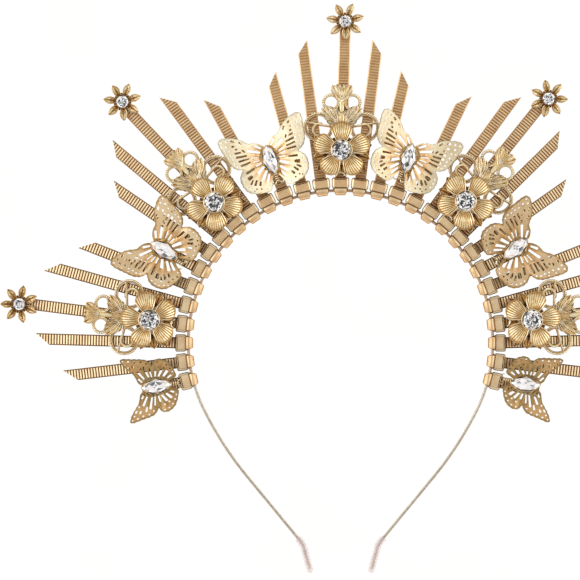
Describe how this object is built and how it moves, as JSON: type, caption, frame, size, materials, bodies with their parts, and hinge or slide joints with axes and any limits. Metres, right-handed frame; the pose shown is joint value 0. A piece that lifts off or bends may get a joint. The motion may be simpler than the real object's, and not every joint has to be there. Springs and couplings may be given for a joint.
{
  "type": "halo crown headband",
  "caption": "Sunburst halo crown: ribbed strap rays looped on an open wire hoop, with filigree flowers, pierced butterflies and cut crystals.",
  "frame": {"origin": "centre of the wire hoop, in the plane of the backs of the strap heads, on which the crown lies", "axes": "+X to the right as seen from the front, +Y to the crown's top, +Z out of its front"},
  "size_m": [0.2766, 0.2315, 0.0125],
  "materials": {
    "wire": "pale champagne plating",
    "clear_silicone": "clear silicone",
    "gold_strap": "metallic gold paint on nylon",
    "cast_gold": "polished cast gilt, brown in the hollows",
    "pierced_gold": "satin gilt sheet",
    "crystal": "faceted, foiled back"
  },
  "bodies": {
    "root": {"butterfly_left_low": "pierced_gold", "butterfly_left_mid": "pierced_gold", "butterfly_left_top": "pierced_gold", "butterfly_right_low": "pierced_gold", "butterfly_right_mid": "pierced_gold", "butterfly_right_top": "pierced_gold", "flower_bracket_left": "cast_gold", "flower_bracket_left_side": "cast_gold", "flower_bracket_right": "cast_gold", "flower_bracket_right_side": "cast_gold", "flower_bracket_top": "cast_gold", "headband": "wire", "marquise_stone_left_low": "crystal", "marquise_stone_left_mid": "crystal", "marquise_stone_left_top": "crystal", "marquise_stone_right_low": "crystal", "marquise_stone_right_mid": "crystal", "marquise_stone_right_top": "crystal", "round_stone_left": "crystal", "round_stone_left_side": "crystal", "round_stone_right": "crystal", "round_stone_right_side": "crystal", "round_stone_top": "crystal", "sleeve_left": "clear_silicone", "sleeve_right": "clear_silicone", "tie_left_01": "gold_strap", "tie_left_02": "gold_strap", "tie_left_04": "gold_strap", "tie_left_05": "gold_strap", "tie_left_06": "gold_strap", "tie_left_07": "gold_strap", "tie_left_08": "gold_strap", "tie_left_10": "gold_strap", "tie_left_11": "gold_strap", "tie_left_12": "gold_strap", "tie_left_13": "gold_strap", "tie_left_14": "gold_strap", "tie_pair_03": "gold_strap", "tie_pair_09": "gold_strap", "tie_pair_15": "gold_strap", "tie_right_01": "gold_strap", "tie_right_02": "gold_strap", "tie_right_04": "gold_strap", "tie_right_05": "gold_strap", "tie_right_06": "gold_strap", "tie_right_07": "gold_strap", "tie_right_08": "gold_strap", "tie_right_10": "gold_strap", "tie_right_11": "gold_strap", "tie_right_12": "gold_strap", "tie_right_13": "gold_strap", "tie_right_14": "gold_strap", "tie_top": "gold_strap", "tip_flower_left": "cast_gold", "tip_flower_left_side": "cast_gold", "tip_flower_right": "cast_gold", "tip_flower_right_side": "cast_gold", "tip_flower_top": "cast_gold", "tip_stones": "crystal"}
  },
  "joints": []
}
